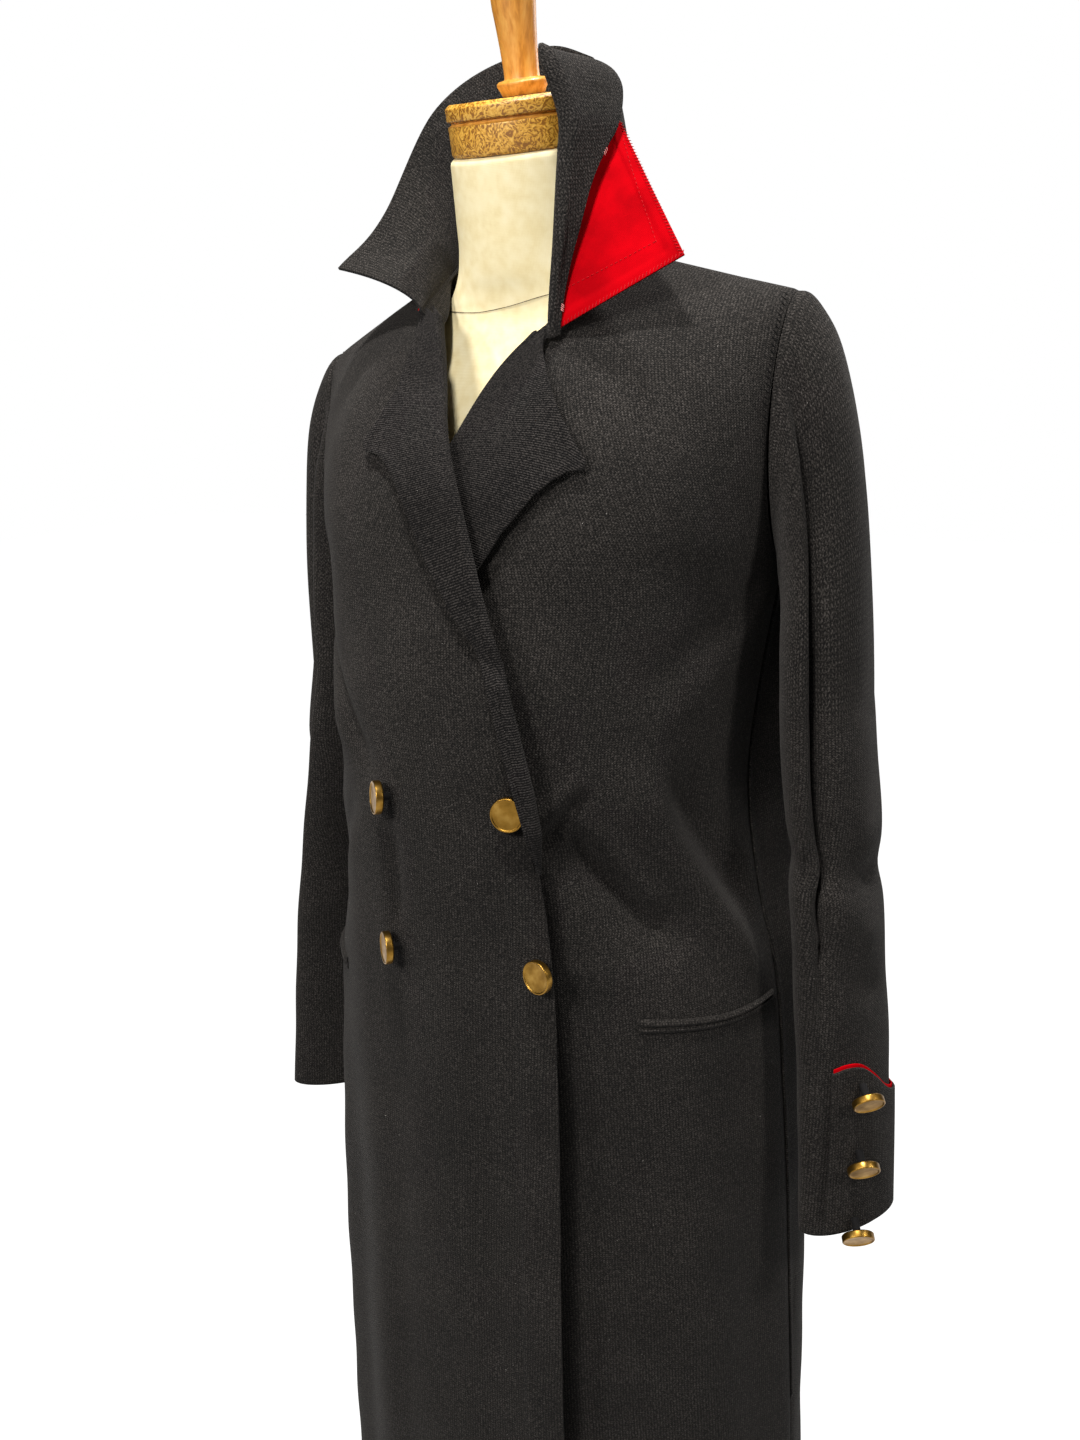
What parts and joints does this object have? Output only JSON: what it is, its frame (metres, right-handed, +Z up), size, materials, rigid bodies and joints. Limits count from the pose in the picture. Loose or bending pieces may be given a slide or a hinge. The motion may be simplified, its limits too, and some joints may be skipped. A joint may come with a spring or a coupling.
{
  "type": "knit coat on a dress form",
  "caption": "Long double-breasted black knit coat with red collar facing and brass buttons, worn by a limbless cream dress form on a turned wooden stand.",
  "frame": {"origin": "centre of the underside of the stand's base, on the floor", "axes": "+Z up along the stand's pole, the coat's front faces -Y and its wearer's left is +X"},
  "size_m": [0.5559, 0.38, 1.6005],
  "materials": {
    "black_wool_knit": "fine black wool knit, matte, with a slightly hairy face",
    "red_woven_facing": "red felted woven cloth, matte",
    "aged_brass": "flat brass buttons with a worn satin face",
    "cream_linen": "cream linen over padding",
    "honey_wood": "honey-coloured hardwood, satin varnish"
  },
  "bodies": {
    "root": {"back": "black_wool_knit", "front_left": "black_wool_knit", "front_right": "black_wool_knit", "sleeve_left": "black_wool_knit", "sleeve_right": "black_wool_knit", "collar": "black_wool_knit", "pocket_welt_left": "black_wool_knit", "pocket_welt_right": "black_wool_knit", "cuff_flap_left": "black_wool_knit", "cuff_flap_right": "black_wool_knit", "collar_facing_left": "red_woven_facing", "collar_facing_right": "red_woven_facing", "cuff_flap_lining_left": "red_woven_facing", "cuff_flap_lining_right": "red_woven_facing", "button_front_upper_left": "aged_brass", "button_front_lower_left": "aged_brass", "button_front_upper_right": "aged_brass", "button_front_lower_right": "aged_brass", "button_cuff_upper_left": "aged_brass", "button_cuff_middle_left": "aged_brass", "button_cuff_lower_left": "aged_brass", "button_cuff_upper_right": "aged_brass", "button_cuff_middle_right": "aged_brass", "button_cuff_lower_right": "aged_brass", "form_torso": "cream_linen", "form_neck_cap": "honey_wood", "form_finial": "honey_wood", "stand_base": "honey_wood", "stand_pole": "honey_wood"}
  },
  "joints": []
}
